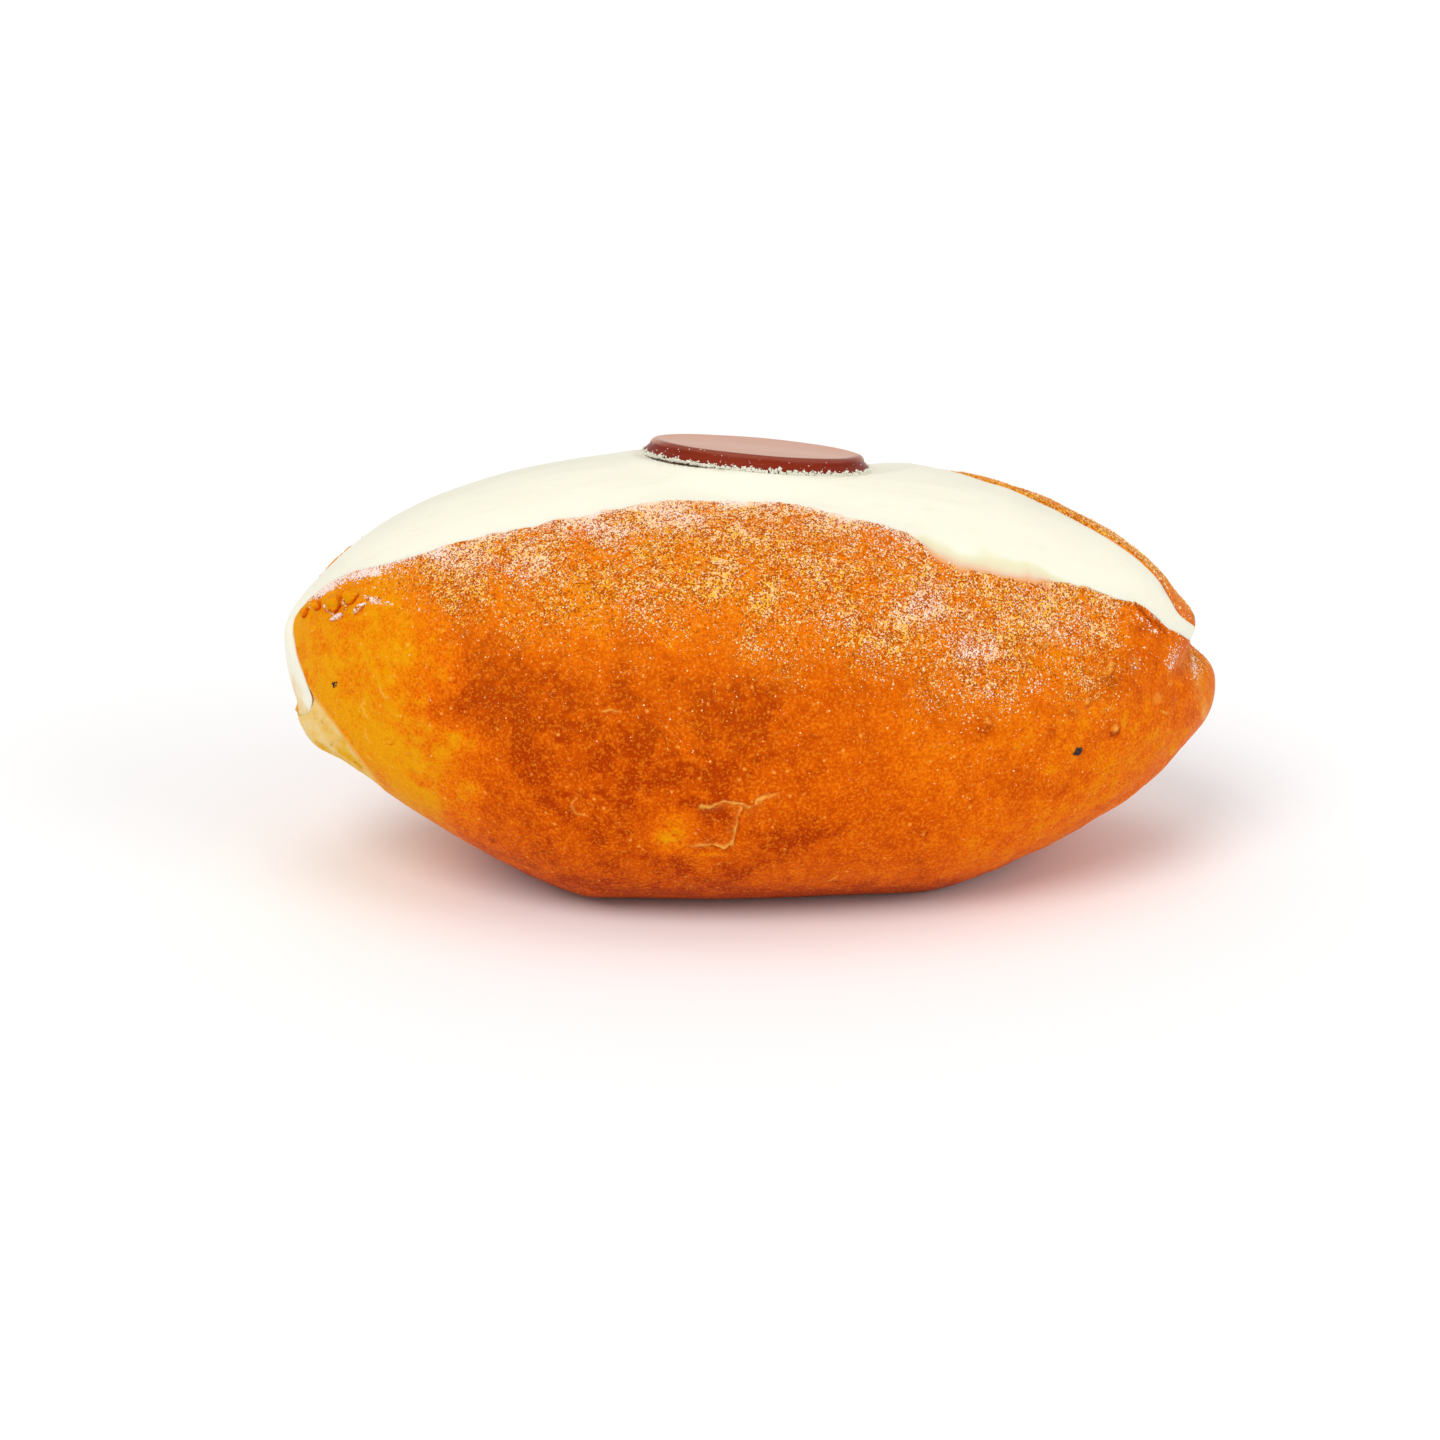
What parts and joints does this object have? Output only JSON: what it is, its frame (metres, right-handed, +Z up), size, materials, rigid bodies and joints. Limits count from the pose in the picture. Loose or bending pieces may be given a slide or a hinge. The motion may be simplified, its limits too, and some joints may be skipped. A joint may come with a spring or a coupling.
{
  "type": "cream bun",
  "caption": "Oval sweet bun split along the top, filled with smoothed whipped cream, topped with a plain chocolate disc and dusted with icing sugar.",
  "frame": {"origin": "middle of the bun on the surface it rests on", "axes": "+X along the bun toward the end where the split closes, +Z up, -Y toward the half that shows most crust"},
  "size_m": [0.1402, 0.074, 0.0657],
  "materials": {
    "crust": "satin golden-brown baked crust",
    "cream": "smooth whipped cream",
    "chocolate": "satin milk chocolate"
  },
  "bodies": {
    "root": {"bun": "crust", "cream": "cream", "chocolate_disc": "chocolate"}
  },
  "joints": []
}
